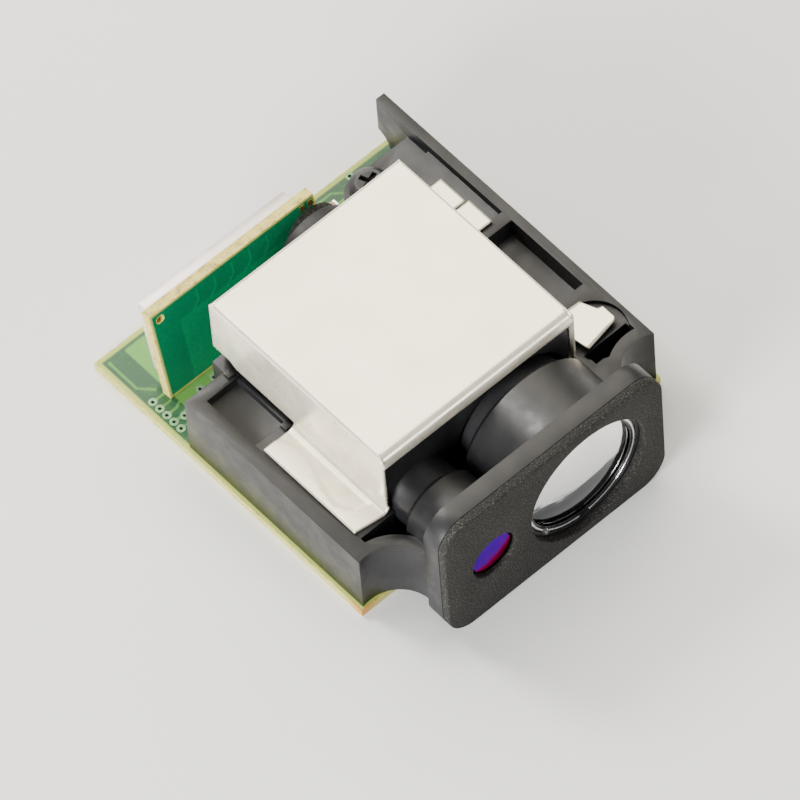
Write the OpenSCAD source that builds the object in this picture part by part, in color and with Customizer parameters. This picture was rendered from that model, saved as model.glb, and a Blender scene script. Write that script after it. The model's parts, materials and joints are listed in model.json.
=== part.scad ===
// Laser distance sensor module: two circuit boards, a black moulded optical bench that holds
// the receiver lens and the laser, and a bright sheet-metal shield cover over the bench.
// Frame: +Z up from the underside of the main board, -Y along the laser beam, +X to the right
// seen from behind the module. The origin is the bottom centre of the bounding box.

/* [Main board] */
// Width of the main board, across the beam
board_w = 39.6; // [38:0.1:48]
// Length of the main board, along the beam
board_l = 40; // [38:0.5:50]
// Thickness of the main board
board_t = 1.0; // [0.8:0.1:1.6]
// How far the optics stand out in front of the main board
nose_l = 8; // [7:0.1:9]
// Pitch of the row of wire holes
wire_pitch = 1.07; // [0.9:0.01:1.4]

/* [Optics] */
// Height of both optical axes over the underside
axis_z = 8.6; // [8.5:0.1:9.4]
// Sideways place of the receiver axis
lens_x = 3.3; // [2.6:0.1:4]
// Distance between the laser axis and the receiver axis
beam_spacing = 12.4; // [12:0.1:14]
// Radius of the receiver lens
lens_r = 7.1; // [5.6:0.1:7.3]
// Radius of the collimator lens
collimator_r = 2.5; // [2:0.1:2.9]
// How far the collimator cell can move back from its front stop
focus_travel = 0.5; // [0.1:0.05:0.8]

/* [Bench] */
// Height of the bench deck over the underside
deck_z = 9; // [8:0.1:10.5]
// Thickness of the bench side walls
wall_t = 1.3; // [1:0.1:1.8]
// Height of the front plate
plate_h = 17.6; // [17.4:0.1:21]
// Thickness of the front plate
plate_t = 2.1; // [1.8:0.1:2.6]
// Corner radius of the front plate
plate_r = 3.2; // [1.5:0.1:4]
// Thickness of the foam gasket
gasket_t = 1.0; // [0.6:0.1:1.5]
// Radius of the scallop notches that pass the host's screw bosses
scallop_r = 4.2; // [3.5:0.1:4.6]

/* [Shield cover] */
// Width of the cover
cover_w = 25; // [23.5:0.5:26]
// Length of the cover
cover_l = 25.6; // [23:0.1:27]
// Height of the cover's top face over the underside
cover_z = 18; // [17.8:0.1:22]
// Thickness of the cover's sheet metal
sheet_t = 0.3; // [0.2:0.05:0.4]

/* [Sensor board] */
// Width of the upright sensor board
sensor_w = 21.5; // [19:0.5:23]
// Height of the sensor board along its slope
sensor_h = 12.3; // [11.8:0.1:15]
// Thickness of the sensor board
sensor_t = 1.15; // [0.8:0.05:1.6]
// Angle by which the sensor board leans back
sensor_lean = 9.5; // [5:0.5:12]
// Depth of the shield can on the back of the sensor board
can_d = 1.4; // [1.1:0.1:2]

/* [Screws] */
// Radius of the bench screws' heads
screw_head_r = 2.1; // [1.8:0.1:2.3]
// Radius of the bench screws' shanks
screw_r = 0.95; // [0.8:0.05:1.05]

/* [Hidden] */
$fn = 64;
eps = 0.01;

// Gaps between pieces
fit_gap = 0.02;      // between a piece and the seat that it is glued into
slide_gap = 0.05;    // round the collimator cell, which slides
cover_gap = 0.1;     // under and beside the lift-off cover
chip_gap = 0.02;     // solder film under a part on a board

// Overall frame
total_l = nose_l + board_l;
front_y = -total_l / 2;
board_front = front_y + nose_l;
board_rear = board_front + board_l;
plate_front = front_y + gasket_t;
plate_rear = plate_front + plate_t;
laser_x = lens_x - beam_spacing;

// Front plate outline
plate_left = laser_x - 6.2;
plate_right = lens_x + 9.9;

// Shield cover
pit_l = 7.6;                        // open trough between the front plate and the cover
cover_front = plate_rear + pit_l;
cover_rear = cover_front + cover_l;
cover_mid = (plate_left + plate_right) / 2;
cover_left = cover_mid - cover_w / 2;
cover_right = cover_mid + cover_w / 2;
cover_foot = deck_z + cover_gap;
lip_h = 1.6;                        // height of the turned-down lip over the trough
rear_skirt_h = 4;                   // height of the cover's short rear wall

// Bench
bench_x = board_w / 2 - 0.4;        // outer faces of the bench, inside the board's edge
block_left = cover_left + 0.6;      // inner face of the left side block
block_right = cover_right - 0.6;    // inner face of the right side block
bulkhead_t = 1.0;
bulkhead_front = cover_front + sheet_t + 2 * cover_gap;
bulkhead_rear = cover_rear - 0.6 - bulkhead_t;
bulkhead_left = cover_left + sheet_t + 0.4;
bulkhead_right = cover_right - sheet_t - 0.2;
bulkhead_top = cover_z - sheet_t - 0.8;
rear_wall_top = cover_z - rear_skirt_h - 0.6;
left_end = bulkhead_rear - 0.7;     // rear end of the left side block
flange_z = 7.2;                     // top of the screw flange and of the hidden screw boss
flange_l = 2.6;
core_top = 4.7;                     // top of the cores under the side blocks
pit_floor = 4.5;                    // floor of the pits in front of the cover's lugs
rail_t = 1.1;
rail_end = board_rear;
flange_front = bulkhead_rear + 6.1;
flange_rear = flange_front + flange_l;

// Screws: one in the open flange at the rear right, one under the cover at the left
screw_places = [[block_right + 0.6, flange_rear - screw_head_r],
                [block_left + screw_head_r - 0.1, left_end - 4.0]];
boss_r = screw_head_r + 0.5;
screw_clear = 0.15;
nut_r = screw_r + 0.8;
nut_h = 2.2;
nut_clear = 0.15;

// Scallops
scallop_drop = 3.0;
scallop_left = [-bench_x + 1.1, board_front - scallop_drop - 0.8];
scallop_right = [bench_x - 2.1, board_front - scallop_drop - 0.5];

// Receiver optics
barrel_wall = 1.05;
lens_seat_r = lens_r + slide_gap;
barrel_r = lens_seat_r + barrel_wall;
barrel_end = plate_rear + 6.4;
lens_edge = 1.2;
lens_front_sag = 1.3;
lens_rear_sag = 0.9;
lens_face = plate_front + 0.6;      // front of the lens edge
lens_back = lens_face + lens_edge;
shoulder_r = lens_r - 0.7;          // bore of the shoulder behind the lens
lens_stop = lens_back + bulge(lens_r, lens_rear_sag, shoulder_r) + fit_gap;
retainer_gap = 0.1;                 // the ring touches the bulge just inside the lens edge
retainer_t = 0.35;
retainer_w = 0.6;
circlip_t = 0.2;
cone_seat = plate_rear + 3.7;
cone_r = lens_r - 0.15;
cone_wall = 0.9;
cone_rear_r = 3.1;
cone_end = cover_rear + 0.3;
filter_r = 2.6;
filter_t = 0.9;

// Laser
cell_wall = 0.7;
cell_r = collimator_r + cell_wall;
laser_bore_r = cell_r + slide_gap;
laser_barrel_r = laser_bore_r + 1.1;
laser_barrel_end = plate_rear + 4.9; // end of the barrel's full width
laser_barrel_step = 0.6;             // taper behind it, along and inwards
laser_lip_t = 0.6;
cell_front = plate_front + laser_lip_t + 0.05;
cell_seat_l = 1.0;                  // length of the lens's seat in the cell
cell_l = 4.0;
cell_stop = cell_front + cell_l + focus_travel + 0.05;  // rear stop of the cell in its barrel
cell_stop_w = 0.5;
cell_stop_t = 0.8;
collimator_inset = 0.1;             // from the gasket's face to the lens's foremost point
collimator_sag = 0.3;
diode_can_r = 2.05;
diode_can_l = 2.2;
diode_flange_r = 2.8;
diode_flange_t = 1.2;
diode_seat = bulkhead_front - 1.6;
lead_r = 0.2;
lead_out = 2.6;
lead_circle = 1.0;

// Sensor board
sensor_right = lens_x + 1.1;
sensor_left = sensor_right - sensor_w;
sensor_foot = cover_rear + 3.15;
sensor_lift = sensor_t * sin(sensor_lean) + 0.02;
can_w = sensor_w - 2.2;
can_h = sensor_h - 2.3;
can_wall = 0.25;
collar_r = 4.5;
collar_x = lens_x - 1.0;
collar_z = axis_z + 0.4;
collar_bore_r = 2.7;
collar_front = cone_end + 0.1;
collar_rear = sensor_foot + 0.15;
collar_round = 1.6;
diode_size = [2.1, 0.8, 2.6];
diode_up = (axis_z - board_t - sensor_lift) / cos(sensor_lean);

// Parts on the main board: place, then size
processor_at = [laser_x + 5.2, bulkhead_rear - 8.0];
processor_size = [6, 6, 1.2];
pin_count = 8;
pin_pitch = 0.65;
driver_at = [laser_x - 0.4, bulkhead_front + 7.0];
crystal_at = [block_right - 3.2, bulkhead_rear - 3.2];
inductor_at = [laser_x + 2.7, bulkhead_rear - 2.4];
capacitor_places = [[block_right - 2.1, bulkhead_rear - 6.5], [block_right - 2.1, bulkhead_rear - 9],
                    [laser_x - 1.6, bulkhead_rear - 13], [laser_x + 0.4, bulkhead_rear - 13],
                    [block_right - 1.4, board_rear - 2.6]];
capacitor_size = [1.6, 0.8, 0.8];
capacitor_end = 0.3;
resistor_places = [for (i = [0:5]) [block_right - 4.6, bulkhead_rear - 6 - 1.5 * i]];
resistor_size = [1.0, 0.5, 0.35];
wire_row = [-bench_x + 0.8, left_end + 2.2];
wire_count = 5;
wire_hole_r = 0.31;
wire_bore_r = 0.2;
ring_r = 0.47;
ring_t = 0.05;
via_places = [[block_left + 0.7, left_end + 4.5], [block_left - 1.2, left_end + 4.4],
              [block_left - 4.4, left_end + 3.1], [block_right + 2.7, board_rear - 0.8]];
wire_places = [for (i = [0:wire_count - 1]) [wire_row[0], wire_row[1] + i * wire_pitch]];

// ---- helpers -------------------------------------------------------------------------------

// Radius of the ball that gives a lens of radius r this sag
function ball(r, sag) = (r * r + sag * sag) / (2 * sag);

// How far a lens's bulge stands over its edge face at a distance from the axis
function bulge(r, sag, at) = sqrt(pow(ball(r, sag), 2) - at * at) - ball(r, sag) + sag;

// A cylinder along +Y from y0 to y1 on the axis at x and z
module y_cylinder(r, y0, y1, x, z) {
    translate([x, y0, z]) rotate([-90, 0, 0]) cylinder(r = r, h = y1 - y0);
}

// A straight taper along +Y from radius r0 to radius r1
module y_cone(r0, r1, y0, y1, x, z) {
    translate([x, y0, z]) rotate([-90, 0, 0]) cylinder(r1 = r0, r2 = r1, h = y1 - y0);
}

// A box given by its lowest and its highest corner
module span(low, high) {
    translate(low) cube(high - low);
}

// A plate in the XZ plane with round corners, from y0 to y1
module round_plate(x0, x1, h, r, y0, y1) {
    span([x0 + r, y0, 0], [x1 - r, y1, h]);
    span([x0, y0, r], [x1, y1, h - r]);
    for (x = [x0 + r, x1 - r]) {
        for (z = [r, h - r]) {
            y_cylinder(r, y0, y1, x, z);
        }
    }
}

// A lens along Y between its edge faces y0 and y1, with a bulge of its own on each side
module lens_shape(r, y0, y1, front_sag, rear_sag) {
    front_ball = ball(r, front_sag);
    rear_ball = ball(r, rear_sag);
    low = y0 - front_sag;
    high = y1 + rear_sag;
    rotate([-90, 0, 0]) rotate_extrude($fn = 128) intersection() {
        translate([0, low]) square([r, high - low]);
        translate([0, low + front_ball]) circle(r = front_ball, $fn = 720);
        translate([0, high - rear_ball]) circle(r = rear_ball, $fn = 720);
    }
}

// The sensor board's own frame: x across, y through its thickness, z up its slope
module on_sensor_board() {
    translate([0, sensor_foot, board_t + sensor_lift]) rotate([-sensor_lean, 0, 0]) children();
}

// A chip body standing on the main board, centred on a place
module on_board(place, size) {
    translate([place[0] - size[0] / 2, place[1] - size[1] / 2, board_t + chip_gap]) cube(size);
}

// ---- main board ----------------------------------------------------------------------------

module main_board() {
    color([0.23, 0.40, 0.27]) difference() {
        span([-board_w / 2, board_front, 0], [board_w / 2, board_rear, board_t]);
        for (p = screw_places) {
            translate([p[0], p[1], -eps]) cylinder(r = nut_r, h = board_t + 2 * eps);
        }
        for (p = concat(wire_places, via_places)) {
            translate([p[0], p[1], -eps]) cylinder(r = wire_hole_r, h = board_t + 2 * eps, $fn = 24);
        }
    }
}

// One plated hole: a thin barrel through the board with a ring on its upper face
module eyelet(place) {
    translate([place[0], place[1], 0]) difference() {
        union() {
            cylinder(r = wire_hole_r, h = board_t + ring_t, $fn = 24);
            translate([0, 0, board_t]) cylinder(r = ring_r, h = ring_t, $fn = 24);
        }
        translate([0, 0, -eps]) cylinder(r = wire_bore_r, h = board_t + ring_t + 2 * eps, $fn = 24);
    }
}

module wire_eyelets() {
    color([0.72, 0.76, 0.55]) for (p = wire_places) {
        eyelet(p);
    }
}

module via_rings() {
    color([0.62, 0.72, 0.50]) for (p = via_places) {
        eyelet(p);
    }
}

module board_nuts() {
    color([0.80, 0.66, 0.32]) for (p = screw_places) {
        translate([p[0], p[1], 0]) difference() {
            cylinder(r = nut_r, h = nut_h);
            translate([0, 0, -eps]) cylinder(r = screw_r, h = nut_h + 2 * eps);
        }
    }
}

module bench_screws() {
    head_h = 1.3;
    slot_w = 0.55;
    slot_d = 0.7;
    color([0.09, 0.09, 0.09]) for (p = screw_places) {
        translate([p[0], p[1], 0]) difference() {
            union() {
                translate([0, 0, 0.3]) cylinder(r = screw_r, h = flange_z - 0.3);
                translate([0, 0, flange_z]) cylinder(r = screw_head_r, h = head_h - 0.5);
                translate([0, 0, flange_z + head_h - 0.5])
                    cylinder(r1 = screw_head_r, r2 = screw_head_r - 0.6, h = 0.5);
            }
            for (a = [20, 110]) {
                rotate([0, 0, a]) translate([-1.15, -slot_w / 2, flange_z + head_h - slot_d])
                    cube([2.3, slot_w, slot_d + eps]);
            }
        }
    }
}

// ---- optical bench -------------------------------------------------------------------------

// Neck wall that wraps a scallop and joins a side block to the front plate
module neck(centre, x0, x1) {
    intersection() {
        translate([centre[0], centre[1], board_t]) difference() {
            cylinder(r = scallop_r + wall_t, h = deck_z - board_t);
            translate([0, 0, -eps]) cylinder(r = scallop_r, h = deck_z);
        }
        span([x0, plate_rear - eps, 0], [x1, centre[1] + scallop_r + wall_t, deck_z]);
    }
}

module bench_left_block() {
    pocket_front = left_end - 8.6;
    difference() {
        span([-bench_x, board_front + 0.4, board_t], [block_left, left_end, deck_z]);
        // shallow open pocket behind the cover's lug
        span([-bench_x + 1.7, pocket_front, deck_z - 1.2], [block_left - 0.75, left_end - 1.4, deck_z + 1]);
        // pit in front of the cover's lug, behind the scallop's wall
        difference() {
            span([-bench_x + 2.0, board_front - 1, pit_floor], [block_left + eps, cover_front - 0.45, deck_z + 1]);
            translate([scallop_left[0], scallop_left[1], 0]) cylinder(r = scallop_r + wall_t, h = deck_z + 2);
        }
        span([block_left - 0.75 - eps, pocket_front, deck_z - 0.3],
             [block_left + eps, left_end - 1.4, deck_z + 1]);
        // cores from below keep the walls even
        for (i = [0:4]) {
            span([-bench_x + wall_t, board_front + 3.9 + i * 4.4, 0],
                 [block_left - wall_t, board_front + 7.1 + i * 4.4, core_top]);
        }
        translate([scallop_left[0], scallop_left[1], 0]) cylinder(r = scallop_r, h = deck_z + 1);
    }
    // snap hooks against the cover's side wall
    for (y = [pocket_front - 0.9, left_end - 1.1]) {
        span([cover_left - 1.0, y, deck_z - 1], [cover_left - cover_gap, y + 0.8, deck_z + 0.45]);
    }
    // strut to the rear bulkhead
    span([block_left - wall_t, left_end - eps, board_t], [block_left, bulkhead_rear + bulkhead_t, deck_z]);
    translate([screw_places[1][0], screw_places[1][1], board_t]) cylinder(r = boss_r, h = flange_z - board_t);
}

module bench_right_block() {
    pocket_rear_front = bulkhead_rear - 5.5;
    pocket_front_rear = pocket_rear_front - 1.4;
    pad_front = board_front + 9.3;
    difference() {
        union() {
            span([block_right, board_front + 0.4, board_t], [bench_x, flange_front, deck_z]);
            span([block_right - 2.2, flange_front - 4, board_t], [bench_x, flange_rear, flange_z]);
            span([bench_x - rail_t, flange_front - eps, board_t], [bench_x, rail_end, deck_z]);
        }
        // shallow pocket under the cover's rear tabs
        span([block_right - 1, pocket_rear_front, deck_z - 1.0], [bench_x - rail_t, flange_front + 1, deck_z + 1]);
        span([block_right - 3, flange_front - 0.6, flange_z], [bench_x - rail_t, flange_rear + 1, deck_z + 1]);
        // deep pocket beside the cover
        span([block_right + 0.6, pad_front, deck_z - 2.6], [bench_x - rail_t, pocket_front_rear, deck_z + 1]);
        // pit in front of the cover's front lug
        span([block_right + 2.0, board_front + 1.4, pit_floor], [bench_x - 1.0, board_front + 3.2, deck_z + 1]);
        // round recess for the cover's front lug
        translate([bench_x - 4.0, board_front + 4.5, deck_z - 0.5]) cylinder(r = 3.5, h = 2);
        // cores from below keep the walls even
        for (i = [0:5]) {
            span([block_right + wall_t, board_front + 3.9 + i * 4.4, 0],
                 [bench_x - wall_t, board_front + 7.1 + i * 4.4, core_top]);
        }
        translate([scallop_right[0], scallop_right[1], 0]) cylinder(r = scallop_r, h = deck_z + 1);
        // rounded rear left corner of the screw flange
        difference() {
            span([block_right - 3, flange_rear - 2, 0], [block_right - 0.2, flange_rear + 1, deck_z]);
            translate([block_right - 0.2, flange_rear - 2, -eps]) cylinder(r = 2, h = deck_z + 1);
        }
        // hollow sweep in the rail's lower rear corner
        translate([bench_x - rail_t - eps, rail_end + 0.8, board_t + 0.4]) rotate([0, 90, 0])
            cylinder(r = 2.6, h = rail_t + 2);
    }
}

module bench_bulkheads() {
    y0 = bulkhead_front;
    difference() {
        union() {
            span([bulkhead_left, y0, board_t], [bulkhead_right, y0 + bulkhead_t, bulkhead_top]);
            span([block_left - eps, y0, board_t], [block_right + eps, y0 + bulkhead_t, deck_z]);
            span([bulkhead_left, bulkhead_rear, board_t],
                 [bulkhead_right, bulkhead_rear + bulkhead_t, rear_wall_top]);
            span([block_left - eps, bulkhead_rear, board_t],
                 [block_right + eps, bulkhead_rear + bulkhead_t, deck_z]);
        }
        y_cylinder(cone_r + 0.3, y0 - 1, y0 + bulkhead_t + 1, lens_x, axis_z);
        y_cylinder(laser_bore_r, y0 - 1, y0 + bulkhead_t + 1, laser_x, axis_z);
        y_cylinder(cone_rear_r + fit_gap, bulkhead_rear - 1, bulkhead_rear + bulkhead_t + 1, lens_x, axis_z);
    }
}

module bench_front() {
    trough_floor = board_t + 0.7;
    difference() {
        union() {
            round_plate(plate_left, plate_right, plate_h, plate_r, plate_front, plate_rear);
            y_cylinder(barrel_r, plate_rear - eps, barrel_end - 0.5, lens_x, axis_z);
            y_cone(barrel_r, barrel_r - 0.5, barrel_end - 0.5, barrel_end, lens_x, axis_z);
            y_cylinder(laser_barrel_r, plate_rear - eps, laser_barrel_end, laser_x, axis_z);
            y_cone(laser_barrel_r, laser_barrel_r - laser_barrel_step, laser_barrel_end,
                   laser_barrel_end + laser_barrel_step, laser_x, axis_z);
            y_cylinder(laser_barrel_r - laser_barrel_step, laser_barrel_end + laser_barrel_step,
                       bulkhead_front + eps, laser_x, axis_z);
            neck(scallop_left, -bench_x, plate_left + 4);
            neck(scallop_right, plate_right - 4, bench_x);
            span([plate_left + 2.5, plate_rear - eps, board_t], [block_right, bulkhead_front + eps, trough_floor]);
            // gusset beside the receiver barrel
            span([lens_x + barrel_r - 2.2, plate_rear - eps, board_t],
                 [block_right + wall_t, plate_rear + 3.2, deck_z + 1.2]);
            span([block_right, plate_rear + 3.2 - eps, board_t],
                 [block_right + 2 * wall_t, board_front + 0.4 + eps, deck_z]);
        }
        // the main board's front edge slides in under the trough
        span([-board_w / 2, board_front - 0.1, -1], [board_w / 2, board_rear, board_t]);
        y_cylinder(lens_seat_r, plate_front - 1, lens_stop, lens_x, axis_z);
        y_cylinder(shoulder_r, lens_stop - 1, cone_seat + 1, lens_x, axis_z);
        y_cylinder(cone_r + fit_gap, cone_seat, barrel_end + 1, lens_x, axis_z);
        y_cylinder(collimator_r + 0.15, plate_front - 1, plate_front + 1, laser_x, axis_z);
        y_cylinder(laser_bore_r, plate_front + laser_lip_t, cell_stop, laser_x, axis_z);
        y_cylinder(laser_bore_r - cell_stop_w, cell_stop - eps, cell_stop + cell_stop_t + eps, laser_x, axis_z);
        y_cylinder(laser_bore_r, cell_stop + cell_stop_t, bulkhead_front + 1, laser_x, axis_z);
        translate([scallop_right[0], scallop_right[1], 0]) cylinder(r = scallop_r, h = deck_z + 3);
    }
}

module optical_bench() {
    color([0.20, 0.20, 0.20]) difference() {
        union() {
            bench_left_block();
            bench_right_block();
            bench_bulkheads();
            bench_front();
        }
        for (p = screw_places) {
            translate([p[0], p[1], 0]) cylinder(r = screw_r + screw_clear, h = deck_z);
            translate([p[0], p[1], flange_z]) cylinder(r = screw_head_r + 0.2, h = deck_z);
            translate([p[0], p[1], 0]) cylinder(r = nut_r + nut_clear, h = nut_h + 0.3);
        }
    }
}

module front_gasket() {
    color([0.22, 0.21, 0.20]) difference() {
        round_plate(plate_left, plate_right, plate_h, plate_r, front_y, plate_front);
        y_cylinder(lens_seat_r + 0.35, front_y - 1, plate_front + 1, lens_x, axis_z);
        y_cylinder(collimator_r + 0.25, front_y - 1, plate_front + 1, laser_x, axis_z);
    }
}

// ---- receiver ------------------------------------------------------------------------------

module receiver_lens() {
    color([0.85, 0.87, 0.88]) translate([lens_x, 0, axis_z])
        lens_shape(lens_r, lens_face, lens_back, lens_front_sag, lens_rear_sag);
}

// The lens is held by a spacer ring, whose bore is chamfered so that it clears the bulge
module lens_retainer() {
    color([0.07, 0.07, 0.07]) difference() {
        y_cylinder(lens_r, lens_face - retainer_t, lens_face - retainer_gap, lens_x, axis_z);
        y_cylinder(lens_r - retainer_w, lens_face - retainer_t - 1, lens_face + 1, lens_x, axis_z);
        y_cone(lens_r - retainer_w - 0.05, lens_r - 0.1, lens_face - retainer_gap - 0.26,
               lens_face - retainer_gap + eps, lens_x, axis_z);
    }
}

module lens_circlip() {
    clip_back = lens_face - retainer_t - fit_gap;
    color([0.75, 0.75, 0.76]) difference() {
        y_cylinder(lens_r, clip_back - circlip_t, clip_back, lens_x, axis_z);
        y_cylinder(lens_r - 0.35, clip_back - circlip_t - 1, clip_back + 1, lens_x, axis_z);
        span([lens_x - 0.6, clip_back - 1, axis_z - lens_r - 1], [lens_x + 0.6, clip_back + 1, axis_z - lens_r + 1]);
    }
}

module light_cone() {
    taper_start = barrel_end - 0.1;
    color([0.10, 0.10, 0.10]) difference() {
        union() {
            y_cylinder(cone_r, cone_seat + fit_gap, taper_start, lens_x, axis_z);
            y_cone(cone_r, cone_rear_r, taper_start, bulkhead_rear - 0.3, lens_x, axis_z);
            y_cylinder(cone_rear_r, bulkhead_rear - 0.3, cone_end, lens_x, axis_z);
        }
        y_cylinder(cone_r - cone_wall, cone_seat - 1, taper_start, lens_x, axis_z);
        y_cone(cone_r - cone_wall, cone_rear_r - cone_wall, taper_start - eps, bulkhead_rear - 0.3 + eps,
               lens_x, axis_z);
        y_cylinder(cone_rear_r - cone_wall, bulkhead_rear - 0.3, cone_end + 1, lens_x, axis_z);
        y_cylinder(filter_r + fit_gap, cone_end - filter_t, cone_end + 1, lens_x, axis_z);
    }
}

module optical_filter() {
    color([0.45, 0.05, 0.06]) y_cylinder(filter_r, cone_end - filter_t + fit_gap, cone_end, lens_x, axis_z);
}

// Round hood behind the light cone, with a rounded front edge
module light_collar() {
    color([0.10, 0.10, 0.10]) difference() {
        translate([collar_x, collar_front, collar_z]) rotate([-90, 0, 0]) union() {
            translate([0, 0, collar_round]) cylinder(r = collar_r, h = collar_rear - collar_front - collar_round);
            rotate_extrude() intersection() {
                translate([collar_r - collar_round, collar_round]) circle(r = collar_round);
                square([collar_r, collar_round]);
            }
            cylinder(r = collar_r - collar_round, h = collar_round + eps);
        }
        y_cylinder(collar_bore_r, collar_front - 1, board_rear, lens_x, axis_z);
    }
}

// Foam ring that keeps stray light out between the hood and the leaning sensor board
module collar_seal() {
    color([0.12, 0.12, 0.12]) difference() {
        y_cylinder(collar_bore_r + 0.6, collar_rear, board_rear, lens_x, axis_z);
        y_cylinder(collar_bore_r, collar_front, board_rear + 1, lens_x, axis_z);
        on_sensor_board() translate([-board_w, -fit_gap, -board_w]) cube([2 * board_w, 20, 2 * board_w]);
    }
}

// ---- sensor board --------------------------------------------------------------------------

module sensor_board() {
    color([0.0, 0.50, 0.33]) on_sensor_board() difference() {
        translate([sensor_left, 0, 0]) cube([sensor_w, sensor_t, sensor_h]);
        translate([sensor_left + 1.2, -1, sensor_h - 1.2]) rotate([-90, 0, 0])
            cylinder(r = 0.45, h = sensor_t + 2, $fn = 24);
    }
}

module photodiode() {
    color([0.15, 0.13, 0.12]) on_sensor_board()
        translate([lens_x - diode_size[0] / 2, -diode_size[1] - chip_gap, diode_up - diode_size[2] / 2])
            cube(diode_size);
}

module photodiode_window() {
    color([0.35, 0.25, 0.35]) on_sensor_board()
        translate([lens_x - 0.8, -diode_size[1] - chip_gap - 0.25, diode_up - 0.8]) cube([1.6, 0.25, 1.6]);
}

module amplifier_chip() {
    color([0.08, 0.08, 0.09]) on_sensor_board()
        translate([lens_x - 6.5, sensor_t + chip_gap, diode_up - 1.5]) cube([3, 0.75, 3]);
}

// Five-sided can, open towards the board
module rear_can() {
    color([0.86, 0.84, 0.82]) on_sensor_board() translate([sensor_left + 0.5, sensor_t, sensor_h - 0.05 - can_h])
        difference() {
            cube([can_w, can_d, can_h]);
            translate([can_wall, -eps, can_wall]) cube([can_w - 2 * can_wall, can_d - can_wall, can_h - 2 * can_wall]);
        }
}

// Fillets of solder that hold the sensor board's foot on the main board
module board_link_solder() {
    joint_w = 1.2;
    joint_pitch = 2.4;
    joint_count = floor((sensor_w - 3) / joint_pitch);
    joint_r = 0.9;
    joint_gap = 0.25;
    color([0.74, 0.74, 0.72]) for (i = [0:joint_count - 1]) {
        translate([sensor_left + 1.5 + i * joint_pitch, sensor_foot + sensor_t * cos(sensor_lean), board_t])
            intersection() {
                translate([0, joint_gap, 0]) cube([joint_w, joint_r, joint_r]);
                translate([0, joint_gap, 0]) rotate([0, 90, 0]) cylinder(r = joint_r, h = joint_w, $fn = 24);
            }
    }
}

// Small gold pads near the sensor board's upper right corner
module sensor_board_pads() {
    color([0.62, 0.45, 0.12]) on_sensor_board() for (i = [0:1]) {
        translate([sensor_right - 1.9 + i * 1.0, -0.08, sensor_h - 1.3]) cube([0.65, 0.08, 0.8]);
    }
}

// ---- shield cover --------------------------------------------------------------------------

module left_lug() {
    lug_l = 13.6;
    lug_w = 4.0;
    end_r = 1.0;
    x0 = cover_left - lug_w;
    y0 = cover_front - 0.3;
    span([x0 + end_r, y0 + 0.6, cover_foot], [cover_left + sheet_t, y0 + lug_l, cover_foot + sheet_t]);
    span([x0, y0 + end_r, cover_foot], [x0 + end_r + eps, y0 + lug_l - end_r, cover_foot + sheet_t]);
    for (y = [y0 + end_r, y0 + lug_l - end_r]) {
        translate([x0 + end_r, y, cover_foot]) cylinder(r = end_r, h = sheet_t);
    }
}

module right_tabs() {
    tab_l = 3.7;
    tab_w = 5.3;
    tab_step = 0.35;
    for (i = [0:1]) {
        tab_y = cover_rear - 7.6 + i * (tab_l + 0.1);
        span([cover_right - sheet_t, tab_y, cover_foot],
             [cover_right + tab_w - i * tab_step, tab_y + tab_l, cover_foot + sheet_t]);
    }
    translate([0, 0, cover_foot]) linear_extrude(height = sheet_t) polygon([
        [cover_right - sheet_t, cover_front + 5.2], [cover_right + 5.6, cover_front + 5.1],
        [cover_right + 6.1, cover_front + 0.8], [cover_right + 1.9, cover_front],
        [cover_right - sheet_t, cover_front + 0.4]]);
}

module shield_cover() {
    color([0.90, 0.89, 0.85]) {
        difference() {
            union() {
                difference() {
                    span([cover_left, cover_front, cover_foot], [cover_right, cover_rear, cover_z]);
                    span([cover_left + sheet_t, cover_front + sheet_t, 0],
                         [cover_right - sheet_t, cover_rear - sheet_t, cover_z - sheet_t]);
                    // the front is open below its lip, the rear below its short skirt
                    span([cover_left + sheet_t, cover_front - 1, 0],
                         [cover_right - sheet_t, cover_front + 1, cover_z - lip_h]);
                    span([cover_left + sheet_t, cover_rear - 1, 0],
                         [cover_right - sheet_t, cover_rear + 1, cover_z - rear_skirt_h]);
                }
                left_lug();
                right_tabs();
            }
            // the left wall ends higher where it stands clear of the bench
            translate([cover_left - 1, cover_rear + eps, cover_foot]) rotate([90, 0, 90])
                linear_extrude(height = 2) polygon([[-3.4, -eps], [0.1, -eps], [0.1, 1.3], [-2.2, 1.1]]);
            // windows that the bench's snap hooks look through
            for (y = [left_end - 9.6, left_end - 1.2]) {
                span([cover_left - eps, y, cover_foot - 1], [cover_left + sheet_t + eps, y + 1.1, cover_foot + 0.6]);
            }
        }
    }
}

// ---- laser ---------------------------------------------------------------------------------

module collimator_cell() {
    color([0.12, 0.12, 0.12]) difference() {
        y_cylinder(cell_r, cell_front, cell_front + cell_l, laser_x, axis_z);
        y_cylinder(collimator_r, cell_front - 1, cell_front + cell_seat_l + 0.1, laser_x, axis_z);
        y_cylinder(collimator_r - 0.5, cell_front, cell_front + cell_l + 1, laser_x, axis_z);
    }
}

module collimator_lens() {
    color([0.30, 0.10, 0.60]) translate([laser_x, 0, axis_z])
        lens_shape(collimator_r, front_y + collimator_inset + collimator_sag, cell_front + cell_seat_l,
                   collimator_sag, 0.1);
}

module laser_diode() {
    color([0.78, 0.70, 0.45]) difference() {
        union() {
            y_cylinder(diode_can_r, diode_seat - diode_can_l, diode_seat + eps, laser_x, axis_z);
            y_cylinder(diode_flange_r, diode_seat, diode_seat + diode_flange_t, laser_x, axis_z);
        }
        y_cylinder(0.8, diode_seat - diode_can_l - 1, diode_seat - diode_can_l + 0.3, laser_x, axis_z);
    }
}

module laser_window() {
    color([0.8, 0.85, 0.9])
        y_cylinder(0.8, diode_seat - diode_can_l + 0.05, diode_seat - diode_can_l + 0.3, laser_x, axis_z);
}

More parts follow.
